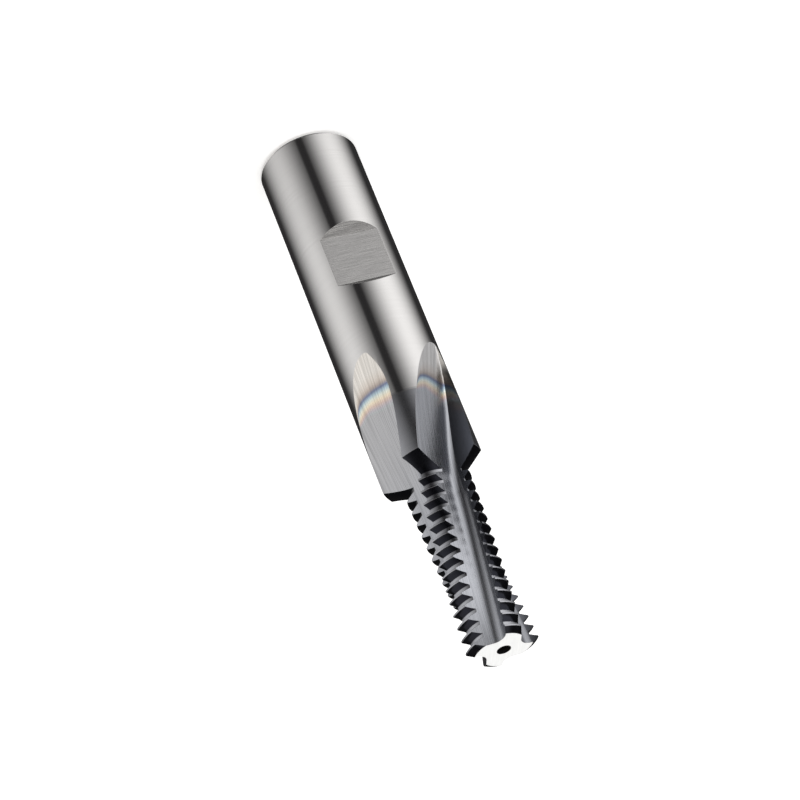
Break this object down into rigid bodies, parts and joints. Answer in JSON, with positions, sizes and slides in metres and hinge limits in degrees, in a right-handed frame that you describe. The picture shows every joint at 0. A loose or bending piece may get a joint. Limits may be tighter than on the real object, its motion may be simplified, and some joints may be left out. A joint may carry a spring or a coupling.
{
  "type": "thread mill",
  "caption": "Solid-carbide thread mill: round shank with a side clamping flat, a shoulder cone, relieved tooth rings on helical lands and an axial coolant hole, for milling internal threads.",
  "frame": {"origin": "centre of the shank's end face, on which the tool stands", "axes": "+Z along the axis from the shank end to the tip; the side clamping flat faces -Y"},
  "size_m": [0.014, 0.014, 0.0824],
  "materials": {
    "ground_carbide": "bright ground carbide, with a dark blue-grey coating on the cutting end"
  },
  "bodies": {
    "root": {"thread_mill": "ground_carbide"}
  },
  "joints": []
}
